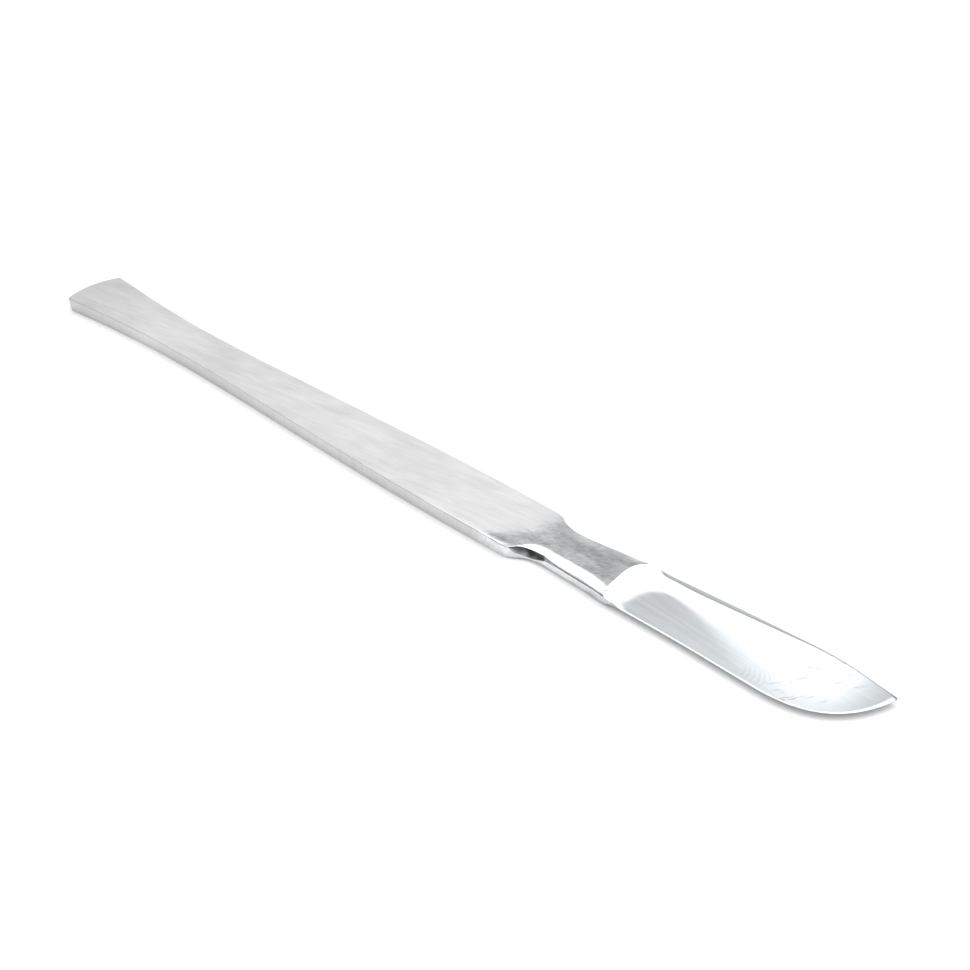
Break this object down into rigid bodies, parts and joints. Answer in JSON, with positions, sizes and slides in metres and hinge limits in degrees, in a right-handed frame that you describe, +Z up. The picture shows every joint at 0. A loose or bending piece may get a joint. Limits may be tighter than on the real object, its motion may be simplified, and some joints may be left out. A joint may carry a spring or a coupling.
{
  "type": "dissecting and modelling knife",
  "caption": "One-piece steel hand tool: flat satin handle with a flared spatula end, narrow polished neck and a fixed bellied blade, lying flat.",
  "frame": {"origin": "middle of the tool's footprint on the surface it lies on, on the flat underside of the handle", "axes": "+X from the spatula end towards the blade's tip, +Y towards the blade's spine, +Z up"},
  "size_m": [0.164, 0.0138, 0.0019],
  "materials": {
    "steel": "stainless steel: satin brushed along the handle, mirror polished on the neck and the ground blade"
  },
  "bodies": {
    "root": {"knife_and_spatula": "steel"}
  },
  "joints": []
}
